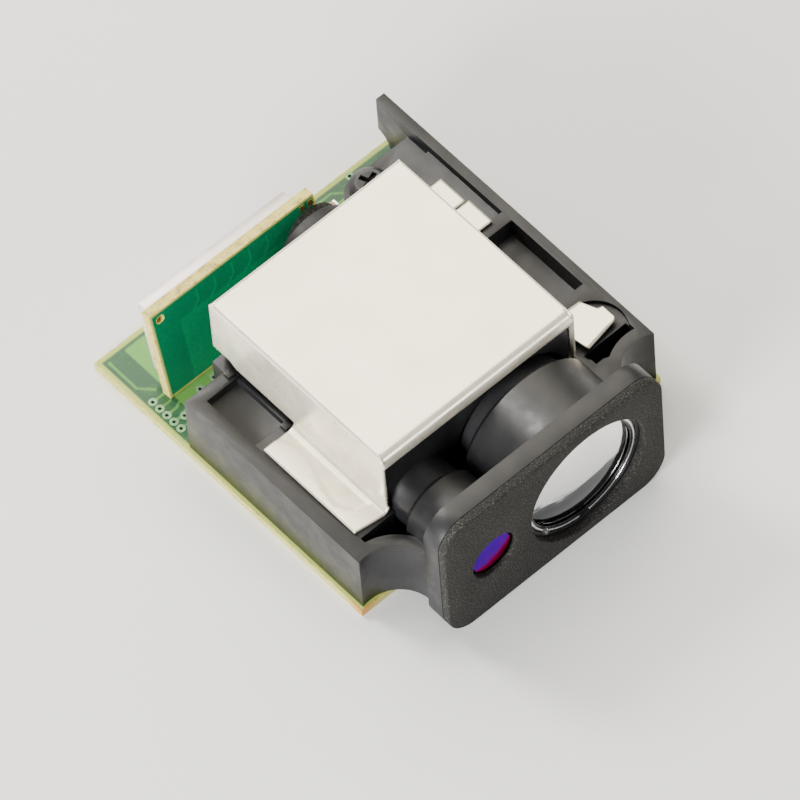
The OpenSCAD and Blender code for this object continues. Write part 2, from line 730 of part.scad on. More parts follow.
// Three leads run back from the diode, bend, and stand on the main board
module laser_leads() {
    lead_start = diode_seat + diode_flange_t;
    color([0.80, 0.72, 0.45]) for (i = [-1:1]) {
        x = laser_x + i * lead_circle;
        z = axis_z - 0.4 + abs(i) * 0.5;
        y = lead_start + lead_out - abs(i) * 0.9;
        y_cylinder(lead_r, lead_start, y, x, z);
        translate([x, y, z]) sphere(r = lead_r);
        translate([x, y, board_t]) cylinder(r = lead_r, h = z - board_t);
    }
}

// Metal ring that holds the diode in the bench and carries its heat away
module laser_holder() {
    color([0.75, 0.66, 0.38]) difference() {
        y_cylinder(laser_bore_r, diode_seat - 1.6, diode_seat + diode_flange_t + 0.4, laser_x, axis_z);
        y_cylinder(diode_can_r, diode_seat - 3, diode_seat + 1, laser_x, axis_z);
        y_cylinder(diode_flange_r, diode_seat, diode_seat + diode_flange_t + 1, laser_x, axis_z);
    }
}

// ---- parts on the main board ---------------------------------------------------------------

module processor_chip() {
    color([0.08, 0.08, 0.09]) on_board(processor_at, processor_size);
}

// Flat pins along all four sides of the processor
module processor_pins() {
    pin = [0.3, 0.7, 0.18];
    color([0.75, 0.75, 0.74]) for (side = [0:3]) {
        for (i = [0:pin_count - 1]) {
            translate([processor_at[0], processor_at[1], board_t]) rotate([0, 0, 90 * side])
                translate([(i - (pin_count - 1) / 2) * pin_pitch - pin[0] / 2, processor_size[1] / 2, 0]) cube(pin);
        }
    }
}

module driver_chip() {
    color([0.08, 0.08, 0.09]) on_board(driver_at, [3.2, 3.2, 0.9]);
}

module crystal() {
    color([0.78, 0.78, 0.77]) on_board(crystal_at, [3.2, 2.5, 0.8]);
}

module inductor() {
    color([0.25, 0.25, 0.27]) on_board(inductor_at, [2.8, 2.8, 1.8]);
}

module smd_capacitors() {
    color([0.62, 0.50, 0.34]) for (p = capacitor_places) {
        on_board(p, [capacitor_size[0] - 2 * capacitor_end, capacitor_size[1], capacitor_size[2]]);
    }
}

// Tinned end caps of the chip capacitors
module capacitor_caps() {
    shift = (capacitor_size[0] - capacitor_end) / 2;
    color([0.80, 0.80, 0.79]) for (p = capacitor_places) {
        for (s = [-1, 1]) {
            on_board([p[0] + s * shift, p[1]], [capacitor_end, capacitor_size[1], capacitor_size[2]]);
        }
    }
}

module smd_resistors() {
    color([0.12, 0.12, 0.13]) for (p = resistor_places) {
        on_board(p, resistor_size);
    }
}

main_board();
wire_eyelets();
via_rings();
board_nuts();
bench_screws();
optical_bench();
front_gasket();
receiver_lens();
lens_retainer();
lens_circlip();
light_cone();
optical_filter();
light_collar();
collar_seal();
sensor_board();
photodiode();
photodiode_window();
amplifier_chip();
rear_can();
board_link_solder();
sensor_board_pads();
shield_cover();
collimator_cell();
collimator_lens();
laser_diode();
laser_window();
laser_leads();
laser_holder();
processor_chip();
processor_pins();
driver_chip();
crystal();
inductor();
smd_capacitors();
smd_resistors();
capacitor_caps();
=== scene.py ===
# %% [markdown]
# # A laser distance sensor, piece by piece
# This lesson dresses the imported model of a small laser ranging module. The frame gives every
# part at its true place and size. Each step below takes one piece or one finish, says what it
# is on the real object, and makes it.

# %% Load the frame
import json
import math

import bmesh
import bpy
import numpy as np
from mathutils import Matrix, Vector


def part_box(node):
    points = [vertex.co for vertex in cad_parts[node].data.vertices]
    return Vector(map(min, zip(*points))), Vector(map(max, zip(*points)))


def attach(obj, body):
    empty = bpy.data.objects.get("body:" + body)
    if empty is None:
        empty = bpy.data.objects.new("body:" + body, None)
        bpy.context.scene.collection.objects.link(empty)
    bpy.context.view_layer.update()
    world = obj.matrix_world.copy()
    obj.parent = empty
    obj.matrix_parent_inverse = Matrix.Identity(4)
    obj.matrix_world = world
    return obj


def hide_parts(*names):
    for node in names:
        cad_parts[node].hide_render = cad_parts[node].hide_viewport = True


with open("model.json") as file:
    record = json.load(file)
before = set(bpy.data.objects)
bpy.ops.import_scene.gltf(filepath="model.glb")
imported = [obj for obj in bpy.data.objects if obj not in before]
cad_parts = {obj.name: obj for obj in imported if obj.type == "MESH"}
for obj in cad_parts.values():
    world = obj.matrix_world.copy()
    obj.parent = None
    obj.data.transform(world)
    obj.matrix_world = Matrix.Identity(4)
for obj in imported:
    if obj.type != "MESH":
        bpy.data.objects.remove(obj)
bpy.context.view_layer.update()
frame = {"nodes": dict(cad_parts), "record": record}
MM = 0.001

# %% [markdown]
# ## Places
# Every later step needs a few planes and axes of the module. They come from the boxes of the
# frame's nodes, so a change in the model moves the looks with it.

# %% Planes and axes
BODY_OF = {n: b for b, members in frame["record"]["behaviour"]["bodies"].items() for n in members}
SLOT_OF = {s["node"]: s["material_slot"] for s in frame["record"]["subparts"]}


def corners(node):
    """The lowest and the highest corner of a node, as arrays in metres."""
    low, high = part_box(node)
    return np.array(low), np.array(high)


board_low, board_high = corners("main_board")
cover_low, cover_high = corners("shield_cover")
lens_low, lens_high = corners("receiver_lens")
sensor_low, sensor_high = corners("sensor_board")
lens_axis = (lens_low + lens_high) / 2
collimator_low, collimator_high = corners("collimator_lens")
laser_axis = (collimator_low + collimator_high) / 2
print("receiver axis at x", round(lens_axis[0] / MM, 2), "laser axis at x", round(laser_axis[0] / MM, 2), "mm")

# %% [markdown]
# ## Camera
# The object is seen from high up at its front left corner, through a long lens, so that
# parallel edges stay nearly parallel. A camera's axes can be written down directly: backwards
# from azimuth and elevation, then right, then up, and a small roll turns the last two.

# %% Camera
AZIMUTH, ELEVATION, ROLL = (math.radians(a) for a in (-37.6, 56.7, -5.1))
TARGET = Vector((-3.5, -3.9, 8.0)) * MM
DISTANCE = 1.0
PIXELS_PER_METRE = 10200
SENSOR_WIDTH = 36
IMAGE_WIDTH = 800

back = Vector((math.sin(AZIMUTH) * math.cos(ELEVATION), -math.cos(AZIMUTH) * math.cos(ELEVATION),
               math.sin(ELEVATION)))
level = Vector((math.cos(AZIMUTH), math.sin(AZIMUTH), 0))
steep = back.cross(level)
right = math.cos(ROLL) * level + math.sin(ROLL) * steep
up = math.cos(ROLL) * steep - math.sin(ROLL) * level

camera_data = bpy.data.cameras.new("camera")
camera_data.sensor_width = SENSOR_WIDTH
camera_data.lens = PIXELS_PER_METRE * SENSOR_WIDTH / IMAGE_WIDTH * DISTANCE
camera_data.clip_start = 0.01
camera = bpy.data.objects.new("camera", camera_data)
camera.matrix_world = Matrix.Translation(TARGET + back * DISTANCE) @ Matrix((right, up, back)).transposed().to_4x4()
bpy.context.collection.objects.link(camera)
bpy.context.scene.camera = camera
print("lens", round(camera_data.lens), "mm")

# %% [markdown]
# ## Floor and light
# A plain pale floor, a large warm panel overhead for the bright sheet metal to mirror, smaller
# panels at the rear, the left and the front for the side faces, and a dim pale room round them.

# %% Floor and light


def emission_panel(name, place, aim, size, power, colour=(1, 1, 1)):
    """A square area light at a place, turned to face the point that it aims at."""
    data = bpy.data.lights.new(name, "AREA")
    data.shape = "SQUARE"
    data.size = size
    data.energy = power
    data.color = colour
    lamp = bpy.data.objects.new(name, data)
    towards = Vector(aim) - Vector(place)
    lamp.matrix_world = Matrix.Translation(place) @ towards.to_track_quat("-Z", "Y").to_matrix().to_4x4()
    bpy.context.collection.objects.link(lamp)
    return lamp


emission_panel("overhead_panel", (0.17, 0.22, 0.42), (0, 0, 0), 0.50, 3.6, (1.0, 0.94, 0.81))
emission_panel("rear_panel", (-0.10, 0.42, 0.40), (0, 0, 0), 0.16, 3.2, (1.0, 0.98, 0.94))
emission_panel("left_panel", (-0.44, -0.10, 0.16), (0, 0, 0), 0.20, 5.0)
emission_panel("front_panel", (0.12, -0.40, 0.16), (0, 0, 0.01), 0.12, 0.35)

world = bpy.data.worlds.new("room")
bpy.context.scene.world = world
world.use_nodes = True
world.node_tree.nodes["Background"].inputs["Color"].default_value = (1.0, 0.985, 0.95, 1)
world.node_tree.nodes["Background"].inputs["Strength"].default_value = 0.42

floor_mesh = bpy.data.meshes.new("floor")
FLOOR_HALF = 0.6
floor_mesh.from_pydata([(-FLOOR_HALF, -FLOOR_HALF, 0), (FLOOR_HALF, -FLOOR_HALF, 0),
                        (FLOOR_HALF, FLOOR_HALF, 0), (-FLOOR_HALF, FLOOR_HALF, 0)], [], [(0, 1, 2, 3)])
floor = bpy.data.objects.new("floor", floor_mesh)
bpy.context.collection.objects.link(floor)

# %% [markdown]
# ## A kit for materials
# Every finish here is a Principled shader fed by a few noise patterns on Object coordinates,
# so nothing depends on an unwrapped image. The small helpers below keep each material short.

# %% Material kit


class Finish:
    """One material: its shader, and short calls that add a pattern node and return its output."""

    def __init__(self, name, **sockets):
        self.material = bpy.data.materials.new(name)
        self.material.use_nodes = True
        self.tree = self.material.node_tree
        self.shader = self.tree.nodes["Principled BSDF"]
        self.place = self.tree.nodes.new("ShaderNodeTexCoord").outputs["Object"]
        for socket, value in sockets.items():
            self.shader.inputs[socket.replace("_", " ")].default_value = value

    def link(self, source, target):
        self.tree.links.new(source, target)

    def feed(self, socket, source):
        """Drives one of the shader's inputs with a pattern."""
        self.link(source, self.shader.inputs[socket])

    def stretched(self, scale, turn=(0, 0, 0)):
        """Object coordinates turned, and stretched by a factor along each axis."""
        mapping = self.tree.nodes.new("ShaderNodeMapping")
        mapping.inputs["Scale"].default_value = scale
        mapping.inputs["Rotation"].default_value = turn
        self.link(self.place, mapping.inputs["Vector"])
        return mapping.outputs["Vector"]

    def noise(self, size, detail=3.0, roughness=0.55, place=None):
        """Cloudy noise whose blobs are about this size in metres."""
        pattern = self.tree.nodes.new("ShaderNodeTexNoise")
        pattern.inputs["Scale"].default_value = 1 / size
        pattern.inputs["Detail"].default_value = detail
        pattern.inputs["Roughness"].default_value = roughness
        self.link(place or self.place, pattern.inputs["Vector"])
        return pattern.outputs["Fac"]

    def cells(self, size, feature="F1", output="Distance", place=None):
        """Random cells about this size in metres."""
        pattern = self.tree.nodes.new("ShaderNodeTexVoronoi")
        pattern.feature = feature
        pattern.inputs["Scale"].default_value = 1 / size
        self.link(place or self.place, pattern.inputs["Vector"])
        return pattern.outputs[output]

    def ramp(self, source, *stops):
        """Colours or grey values along a pattern: each stop is a position and a value."""
        ramp = self.tree.nodes.new("ShaderNodeValToRGB")
        while len(ramp.color_ramp.elements) < len(stops):
            ramp.color_ramp.elements.new(0.5)
        for element, (position, value) in zip(ramp.color_ramp.elements, stops):
            element.position = position
            element.color = (*value, 1) if hasattr(value, "__len__") else (value, value, value, 1)
        self.link(source, ramp.inputs["Fac"])
        return ramp.outputs["Color"]

    def range(self, source, low, high, to_low=0.0, to_high=1.0):
        """A smooth step of a value between low and high."""
        step = self.tree.nodes.new("ShaderNodeMapRange")
        step.interpolation_type = "SMOOTHSTEP"
        for socket, value in zip(("From Min", "From Max", "To Min", "To Max"), (low, high, to_low, to_high)):
            step.inputs[socket].default_value = value
        self.link(source, step.inputs["Value"])
        return step.outputs["Result"]

    def mix(self, factor, a, b):
        """A blend of two colours or patterns by a factor."""
        mix = self.tree.nodes.new("ShaderNodeMix")
        mix.data_type = "RGBA"
        for socket, value in ((mix.inputs["Factor"], factor), (mix.inputs["A"], a), (mix.inputs["B"], b)):
            if isinstance(value, bpy.types.NodeSocket):
                self.link(value, socket)
            elif socket.type == "RGBA":
                socket.default_value = (*value, 1)
            else:
                socket.default_value = value
        return mix.outputs["Result"]

    def maths(self, operation, a, b=0.0):
        """One arithmetic step on two values."""
        step = self.tree.nodes.new("ShaderNodeMath")
        step.operation = operation
        for socket, value in zip(step.inputs, (a, b)):
            if isinstance(value, bpy.types.NodeSocket):
                self.link(value, socket)
            else:
                socket.default_value = value
        return step.outputs["Value"]

    def axis(self, letter):
        """The X, Y or Z part of the Object coordinates, in metres."""
        split = self.tree.nodes.new("ShaderNodeSeparateXYZ")
        self.link(self.place, split.inputs["Vector"])
        return split.outputs[letter]

    def bump(self, source, depth, strength=1.0):
        """Fine relief of this depth in metres, added on top of any relief before it."""
        bump = self.tree.nodes.new("ShaderNodeBump")
        bump.inputs["Strength"].default_value = strength
        bump.inputs["Distance"].default_value = depth
        self.link(source, bump.inputs["Height"])
        before = self.shader.inputs["Normal"].links
        if before:
            self.link(before[0].from_socket, bump.inputs["Normal"])
        self.link(bump.outputs["Normal"], self.shader.inputs["Normal"])


FINISHES = {}
print("material kit ready")

# %% [markdown]
# ## The pale floor
# A matt card with the faintest cloudiness, so that the shadow reads but nothing else does.

# %% Floor finish
floor_card = Finish("floor_card", Roughness=0.9)
floor_card.feed("Base Color", floor_card.ramp(floor_card.noise(0.05), (0.3, (0.78, 0.78, 0.78)),
                                              (0.7, (0.81, 0.81, 0.80))))
floor.data.materials.append(floor_card.material)

# %% [markdown]
# ## Black moulding
# The optical bench is a glass-filled black plastic. A spark-eroded mould gives it a fine matt
# grain; handling polishes its edges a little. Grain is a noise far finer than a wall, and
# large soft clouds change the grey where the melt flowed.

# %% Black moulding finish
COOL = 1.12   # the moulding's grey leans a little to blue

def black_moulding(name, dark, pale, roughness, grain=0.00012):
    """Matt moulded plastic between two greys, with eroded grain and slightly shiny clouds."""
    finish = Finish(name, Roughness=roughness)
    finish.shader.inputs["Specular IOR Level"].default_value = 0.38
    clouds = finish.noise(0.006, 4)
    finish.feed("Base Color", finish.ramp(clouds, (0.3, (dark, dark, dark * COOL)), (0.7, (pale, pale, pale * COOL))))
    finish.feed("Roughness", finish.range(finish.noise(0.002, 3), 0.3, 0.7, roughness - 0.07, roughness + 0.07))
    finish.bump(finish.noise(grain, 3, 0.6), 0.000012)
    finish.bump(finish.noise(0.004, 2), 0.00003, 0.5)
    return finish.material


FINISHES["bench_plastic"] = black_moulding("bench_moulding", 0.009, 0.013, 0.38)
FINISHES["cone_plastic"] = black_moulding("deep_black_moulding", 0.010, 0.015, 0.55)

# %% [markdown]
# ## Foam
# The gasket is die-cut closed-cell foam. Its cut cells show as pale specks on a brown-black
# ground. A cell pattern at the size of a cell makes both the specks and the pits.

# %% Foam finish
foam = Finish("gasket_foam", Roughness=0.88)
foam.shader.inputs["Specular IOR Level"].default_value = 0.25
specks = foam.noise(0.00016, 4, 0.75)
cell_tint = foam.ramp(specks, (0.38, (0.008, 0.0076, 0.007)), (0.54, (0.022, 0.021, 0.019)),
                      (0.68, (0.14, 0.135, 0.12)))
blotches = foam.ramp(foam.noise(0.0035, 2), (0.3, 0.82), (0.7, 1.0))
shade_node = foam.tree.nodes.new("ShaderNodeMix")
shade_node.data_type = "RGBA"
shade_node.blend_type = "MULTIPLY"
shade_node.inputs["Factor"].default_value = 1.0
foam.link(cell_tint, shade_node.inputs["A"])
foam.link(blotches, shade_node.inputs["B"])
foam.feed("Base Color", shade_node.outputs["Result"])
foam.bump(specks, 0.00006)
foam.bump(foam.cells(0.0004), 0.00005, 0.6)
FINISHES["gasket_foam"] = foam.material

# %% [markdown]
# ## Metals
# Tinplate is bright but not a mirror: rolling leaves faint lines one way, and fingers leave
# soft smears. A metal finish is one function with its tint, its gloss and the way it was rolled.

# %% Metal finishes


def metal(name, tint, roughness, rolled=None, smear=0.08, dent=0.0, bare=1.0):
    """Metal: cloudy gloss, a faint stain, rolling lines along X or Y, and less mirror if it isn't bare."""
    finish = Finish(name, Metallic=bare, Roughness=roughness)
    stain = tuple(c * s for c, s in zip(tint, (0.90, 0.89, 0.86)))
    finish.feed("Base Color", finish.ramp(finish.noise(0.005, 4), (0.35, stain), (0.65, tint)))
    gloss = finish.noise(0.0025, 4)
    finish.feed("Roughness", finish.range(gloss, 0.3, 0.7, max(0.03, roughness - smear), roughness + smear))
    if rolled:
        scale = (0.02, 1, 1) if rolled == "X" else (1, 0.02, 1)
        finish.bump(finish.noise(0.00015, 2, 0.5, finish.stretched(scale)), 0.000004)
    if dent:
        finish.bump(finish.noise(0.006, 1), dent)
    return finish.material


FINISHES["cover_tin"] = metal("bright_tinplate", (0.96, 0.90, 0.74), 0.27, "Y", 0.05, 0.00002, 0.6)
FINISHES["can_tin"] = metal("dull_tinplate", (0.80, 0.72, 0.70), 0.42, "X", bare=0.6)
FINISHES["spring_steel"] = metal("spring_steel", (0.72, 0.72, 0.73), 0.22)
FINISHES["solder"] = metal("solder", (0.80, 0.80, 0.78), 0.25, None, 0.12, 0.0001)
FINISHES["gold_pad"] = metal("gold_flash", (0.72, 0.50, 0.18), 0.30)
FINISHES["nut_brass"] = metal("turned_brass", (0.82, 0.66, 0.34), 0.28)
FINISHES["holder_brass"] = metal("holder_brass", (0.78, 0.63, 0.34), 0.33)
FINISHES["diode_gold"] = metal("gold_can", (0.90, 0.72, 0.38), 0.22)
FINISHES["pin_tin"] = metal("tinned_leads", (0.80, 0.80, 0.79), 0.30)

# %% [markdown]
# ## Black metal, chips and ceramics
# Black oxide steel and anodised rings are dark with a soft sheen. Chip bodies are moulded
# epoxy, the ferrite and the ceramics are fired and grainy. They share one recipe.

# %% Dark and fired finishes


def fired(name, tint, roughness, grain, spread=0.25, metallic=0.0):
    """A dense dull solid: its tint varies by the spread, and its grain is a shallow relief."""
    finish = Finish(name, Roughness=roughness, Metallic=metallic)
    deep = tuple(c * (1 - spread) for c in tint)
    finish.feed("Base Color", finish.ramp(finish.noise(grain * 4, 3), (0.35, deep), (0.65, tint)))
    finish.feed("Roughness", finish.range(finish.noise(grain * 9, 3), 0.3, 0.7, roughness - 0.06, roughness + 0.08))
    finish.bump(finish.noise(grain, 3, 0.6), grain * 0.08)
    return finish.material


FINISHES["screw_black"] = fired("black_oxide_steel", (0.055, 0.055, 0.058), 0.38, 0.00015, 0.3, 0.6)
FINISHES["ring_black"] = fired("black_anodised", (0.020, 0.020, 0.022), 0.30, 0.0002, 0.3, 0.3)
FINISHES["chip_epoxy"] = fired("chip_epoxy", (0.030, 0.030, 0.033), 0.48, 0.00012)
FINISHES["ferrite"] = fired("ferrite", (0.075, 0.075, 0.08), 0.55, 0.00018)
FINISHES["capacitor_ceramic"] = fired("tan_ceramic", (0.50, 0.33, 0.17), 0.42, 0.0001)
FINISHES["plated_copper"] = fired("tinned_rings", (0.22, 0.40, 0.20), 0.40, 0.0002, 0.3, 0.3)
FINISHES["resistor_black"] = fired("black_glaze", (0.03, 0.03, 0.034), 0.25, 0.0001)
print("finishes so far:", len(FINISHES))

# %% [markdown]
# ## Boards: laminate, solder mask and copper
# A circuit board is woven glass in resin: its cut edge is cream with fibres in layers. The
# faces carry a thin green lacquer that looks dark over bare laminate and light over copper.
# Each lacquer skin is a separate surface here, and stores how much copper lies under every
# point in an attribute that the finish reads.

# %% Laminate finish


def laminate(name, pale, deep, layer, scorched=None):
    """Cut edge of woven glass board: fibres in layers of this height, browned near a scorched point."""
    finish = Finish(name, Roughness=0.6)
    fibres = finish.noise(layer, 4, 0.65, finish.stretched((0.16, 0.16, 1.0)))
    threads = finish.noise(0.00025, 3, 0.6)
    weave = finish.mix(0.4, fibres, threads)
    colour = finish.ramp(weave, (0.36, deep), (0.50, pale), (0.66, tuple(min(1, c * 1.25) for c in pale)))
    if scorched:
        away = finish.tree.nodes.new("ShaderNodeVectorMath")
        away.operation = "DISTANCE"
        finish.link(finish.place, away.inputs[0])
        away.inputs[1].default_value = scorched
        colour = finish.mix(finish.range(away.outputs["Value"], 0.0004, 0.0030, 0.85, 0.0), colour, (0.50, 0.20, 0.03))
    finish.feed("Base Color", colour)
    finish.bump(weave, 0.00004)
    return finish


board_laminate = laminate("board_laminate", (0.52, 0.49, 0.13), (0.25, 0.27, 0.05), 0.00016,
                          (board_low[0], board_low[1], board_high[2]))
sensor_laminate = laminate("sensor_laminate", (0.60, 0.50, 0.13), (0.26, 0.20, 0.04), 0.00020)
FINISHES["board_laminate"] = board_laminate.material
FINISHES["sensor_laminate"] = sensor_laminate.material

# %% Lacquer finish


def lacquer(name, bare, over_copper, rim):
    """Green solder mask: its colour goes from bare laminate to copper by the stored amounts."""
    finish = Finish(name, Roughness=0.26)
    finish.shader.inputs["Specular IOR Level"].default_value = 0.3
    finish.shader.inputs["Coat Weight"].default_value = 0.06
    finish.shader.inputs["Coat Roughness"].default_value = 0.15
    copper = finish.tree.nodes.new("ShaderNodeAttribute")
    copper.attribute_name = "copper"
    edge = finish.tree.nodes.new("ShaderNodeAttribute")
    edge.attribute_name = "rim"
    clouds = finish.range(finish.noise(0.0018, 4), 0.3, 0.7, -0.10, 0.10)
    amount = finish.maths("ADD", copper.outputs["Fac"], clouds)
    ground = finish.mix(amount, bare, over_copper)
    finish.feed("Base Color", finish.mix(edge.outputs["Fac"], ground, rim))
    finish.feed("Roughness", finish.range(finish.noise(0.0009, 3), 0.3, 0.7, 0.20, 0.36))
    finish.bump(finish.noise(0.00035, 2), 0.000008)
    return finish.material


FINISHES["board_lacquer"] = lacquer("board_lacquer", (0.022, 0.085, 0.036), (0.110, 0.300, 0.055), (0.36, 0.44, 0.08))
FINISHES["sensor_lacquer"] = lacquer("sensor_lacquer", (0.000, 0.15, 0.062), (0.002, 0.21, 0.080), (0.40, 0.42, 0.10))

# %% [markdown]
# ## Glass
# The big lens has a coating that reflects a good part of the light. Its tint is paler high up
# and darker low down. That gradient is a painted stand-in for the bright and the dim
# surroundings that such a lens mirrors, so it stays put when the view changes. The small
# collimator lens has a tint painted from violet to red across its face in the same way. The
# filter is deep red glass.

# %% Glass finishes
lens_glass = Finish("coated_lens_glass", Roughness=0.05, Metallic=0.85, IOR=1.52)
lens_glass.shader.inputs["Transmission Weight"].default_value = 1.0
lens_streaks = lens_glass.noise(0.0012, 3, 0.6, lens_glass.stretched((0.12, 1, 1), (0, math.radians(-12), 0)))
lens_rise = lens_glass.maths("ADD", lens_glass.axis("Z"), lens_glass.maths("MULTIPLY", lens_streaks, 0.0035))
# Painted reflection: a ramp by height, with streaks along its border, makes the lens white high up and dark low down,
# standing in for the bright and the dim surroundings it mirrors.
lens_painted_reflection = lens_glass.range(lens_rise, float(lens_axis[2]) + 0.0004, float(lens_axis[2]) + 0.0030)
lens_glass.feed("Base Color", lens_glass.ramp(lens_painted_reflection, (0.0, (0.05, 0.052, 0.056)), (0.4, (0.11, 0.113, 0.12)),
                                              (0.62, (0.97, 0.97, 0.98))))
lens_glass.feed("Roughness", lens_glass.range(lens_streaks, 0.45, 0.75, 0.04, 0.16))
lens_glass.bump(lens_glass.noise(0.003, 1), 0.00001)
FINISHES["lens_glass"] = lens_glass.material

collimator_coat = Finish("collimator_coating", Roughness=0.12, Metallic=1.0)
collimator_coat.shader.inputs["Specular Tint"].default_value = (0.30, 0.05, 0.45, 1)
SLANT = 0.4   # how far the line between the two tints leans
across = collimator_coat.maths("SUBTRACT", collimator_coat.maths("MULTIPLY", collimator_coat.axis("X"), SLANT),
                               collimator_coat.axis("Z"))
middle = float(SLANT * laser_axis[0] - laser_axis[2])
reach = float(collimator_high[0] - collimator_low[0]) * 0.52
tint_place = collimator_coat.range(across, middle - reach, middle + reach)
tint_ripple = collimator_coat.range(collimator_coat.noise(0.0012), 0.3, 0.7, -0.05, 0.05)
tint_cloud = collimator_coat.maths("ADD", tint_place, tint_ripple)
collimator_coat.feed("Base Color", collimator_coat.ramp(
    tint_cloud, (0.12, (0.07, 0.004, 0.30)), (0.42, (0.13, 0.003, 0.36)), (0.62, (0.34, 0.003, 0.06)),
    (0.88, (0.12, 0.002, 0.008))))
collimator_coat.bump(collimator_coat.noise(0.002, 1), 0.000006)
FINISHES["collimator_coated"] = collimator_coat.material


def clear_glass(name, tint, rough):
    """Small clear part: glass with a cloudy tint and faintly uneven polish."""
    finish = Finish(name, Roughness=rough, IOR=1.5)
    finish.shader.inputs["Transmission Weight"].default_value = 0.85
    pale = tuple(min(1, c * 1.1) for c in tint)
    finish.feed("Base Color", finish.ramp(finish.noise(0.001), (0.3, tint), (0.7, pale)))
    finish.bump(finish.noise(0.0008, 1), 0.000005)
    return finish.material


FINISHES["filter_glass"] = clear_glass("red_filter_glass", (0.50, 0.03, 0.04), 0.08)
FINISHES["diode_window"] = clear_glass("diode_window_glass", (0.62, 0.66, 0.74), 0.06)
FINISHES["glue"] = clear_glass("clear_glue", (0.86, 0.88, 0.84), 0.12)
missing = sorted(set(SLOT_OF.values()) - set(FINISHES))
print("slots without a finish:", missing)

# %% [markdown]
# ## Tools for pieces
# A new piece is a surface worked out with numpy. These helpers turn arrays of points into a
# Blender mesh, give it the finish of a slot, carry it on a body, and hide the node of the model
# that it replaces.

# %% Mesh tools


def make_piece(name, points, faces, finish, body, stands_for=(), crease=35):
    """A mesh object from arrays of points and faces, smooth up to the crease angle."""
    mesh = bpy.data.meshes.new(name)
    mesh.from_pydata(np.asarray(points).reshape(-1, 3).tolist(), [], np.asarray(faces).tolist())
    return finish_piece(name, mesh, finish, body, stands_for, crease)


def finish_piece(name, mesh, finish, body, stands_for=(), crease=35):
    """Wraps a mesh in an object, gives it its finish and its body, and hides the nodes it stands for."""
    mesh.polygons.foreach_set("use_smooth", np.ones(len(mesh.polygons), bool))
    mesh.set_sharp_from_angle(angle=math.radians(crease))
    mesh.materials.clear()
    mesh.materials.append(FINISHES[finish])
    piece = bpy.data.objects.new(name, mesh)
    bpy.context.collection.objects.link(piece)
    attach(piece, body)
    if stands_for:
        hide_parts(*stands_for)
    return piece


def grid_faces(rows, columns, start=0, wrap=False):
    """Quads between neighbours of a grid of rows by columns; wrap joins the last row to the first."""
    index = np.arange(rows * columns).reshape(rows, columns) + start
    if wrap:
        index = np.vstack([index, index[:1]])
    return np.stack([index[:-1, :-1], index[1:, :-1], index[1:, 1:], index[:-1, 1:]], -1).reshape(-1, 4)


def lathe(name, profile, centre, finish, body, stands_for=(), turns=128, crease=35):
    """Turns a closed profile of (radius, y) pairs about the axis along Y through the centre:
    point = centre + radius * (cos a, 0, sin a) + y, for the angle a all the way round."""
    radius, along = np.asarray(profile, float).T
    angle = np.linspace(0, 2 * np.pi, turns, endpoint=False)[:, None]
    points = np.stack([centre[0] + radius * np.cos(angle), np.broadcast_to(along, (turns, len(along))),
                       centre[2] + radius * np.sin(angle)], -1)
    piece = make_piece(name, points, grid_faces(turns, len(along), wrap=True), finish, body, stands_for, crease)
    tidy_mesh(piece.data, outwards=True)
    piece.data.set_sharp_from_angle(angle=math.radians(crease))
    return piece


def tidy_mesh(mesh, outwards=False, near=1e-7):
    """Merges points that coincide, drops faces that have shrunk away, and turns faces outwards if asked."""
    work = bmesh.new()
    work.from_mesh(mesh)
    bmesh.ops.remove_doubles(work, verts=work.verts, dist=near)
    bmesh.ops.dissolve_degenerate(work, edges=work.edges, dist=near)
    if outwards:
        bmesh.ops.recalc_face_normals(work, faces=work.faces)
    work.to_mesh(mesh)
    work.free()


def softened(node, edge, segments=2, flat=1.5, sharp=28, finish=None, name=None):
    """A copy of a node whose sharp edges are rounded by this radius in metres, standing for the node."""
    mesh = frame["nodes"][node].data.copy()
    mesh.name = name or node + "_rounded"
    work = bmesh.new()
    work.from_mesh(mesh)
    bmesh.ops.remove_doubles(work, verts=work.verts, dist=2e-7)
    bmesh.ops.dissolve_limit(work, angle_limit=math.radians(flat), verts=work.verts, edges=work.edges)
    work.normal_update()
    corners_sharp = [e for e in work.edges if len(e.link_faces) == 2 and e.calc_face_angle() > math.radians(sharp)]
    bmesh.ops.bevel(work, geom=corners_sharp, offset=edge, segments=segments, profile=0.5, affect="EDGES",
                    clamp_overlap=True, offset_type="OFFSET", miter_outer="ARC")
    work.to_mesh(mesh)
    work.free()
    return finish_piece(mesh.name, mesh, finish or SLOT_OF[node], BODY_OF[node], (node,), 30)


# %% [markdown]
# ## Plain nodes
# A node whose shape is already right keeps its mesh and only takes its finish. Later steps
# replace the nodes that need rounder edges or a formed surface.

# %% Finishes on the nodes
for node, thing in frame["nodes"].items():
    thing.data.materials.clear()
    thing.data.materials.append(FINISHES[SLOT_OF[node]])
    thing.data.polygons.foreach_set("use_smooth", np.ones(len(thing.data.polygons), bool))
    thing.data.set_sharp_from_angle(angle=math.radians(30))
print("nodes finished:", len(frame["nodes"]))

# %% [markdown]
# ## Rounded edges
# Nothing moulded, punched or turned has a knife edge. A copy of each hard part gets a small
# round on its sharp edges, about a tenth of a millimetre on the bench and less on the chips,
# and the light then draws a fine line along them as it does on the real part.

# %% Rounded copies
ROUNDS = {"optical_bench": 0.11, "bench_screws": 0.07, "board_nuts": 0.06, "rear_can": 0.09, "light_collar": 0.08,
          "lens_retainer": 0.04, "lens_circlip": 0.05, "laser_holder": 0.05, "collimator_cell": 0.05,
          "processor_chip": 0.06, "driver_chip": 0.05, "amplifier_chip": 0.04, "photodiode": 0.05,
          "crystal": 0.12, "inductor": 0.12, "smd_capacitors": 0.04, "capacitor_caps": 0.05, "smd_resistors": 0.03,
          "sensor_board_pads": 0.02, "photodiode_window": 0.03}
for node, radius in ROUNDS.items():
    piece = softened(node, radius * MM)
    print(node, "faces", len(piece.data.polygons))
